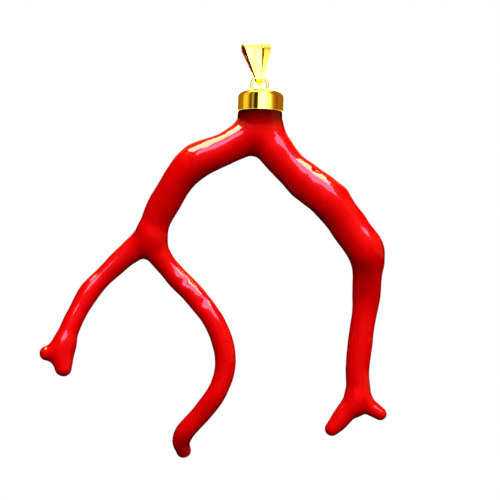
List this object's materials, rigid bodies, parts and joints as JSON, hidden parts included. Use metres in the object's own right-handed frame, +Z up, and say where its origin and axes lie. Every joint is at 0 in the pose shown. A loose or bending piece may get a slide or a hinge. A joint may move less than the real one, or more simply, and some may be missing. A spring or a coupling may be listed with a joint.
{
  "type": "red coral branch pendant",
  "caption": "Polished red coral branch, forked head down from a domed gold cap, hung as a pendant by a folded tapered gold bail that swings on the cap's wire ring",
  "frame": {"origin": "the top of the inside of the bail's eye, where a chain bears", "axes": "X runs to the right across the branch, Y away from the viewer through its thickness, Z up along its length as it hangs"},
  "size_m": [0.0494, 0.0078, 0.0606],
  "materials": {
    "coral": "polished",
    "gold": "polished"
  },
  "bodies": {
    "bail": {"bail": "gold"},
    "pendant": {"cap_ring": "gold", "cap": "gold", "coral_crown": "coral", "coral_left_arm": "coral", "coral_outer_branch": "coral", "coral_inner_branch": "coral", "coral_right_arm": "coral"}
  },
  "joints": [
    {"name": "ring_swing", "type": "hinge", "parent": "bail", "child": "pendant", "pos_m": [0.0005, 0, -0.00453], "axis": [1, 0, 0], "range_deg": [-95, 95]}
  ]
}
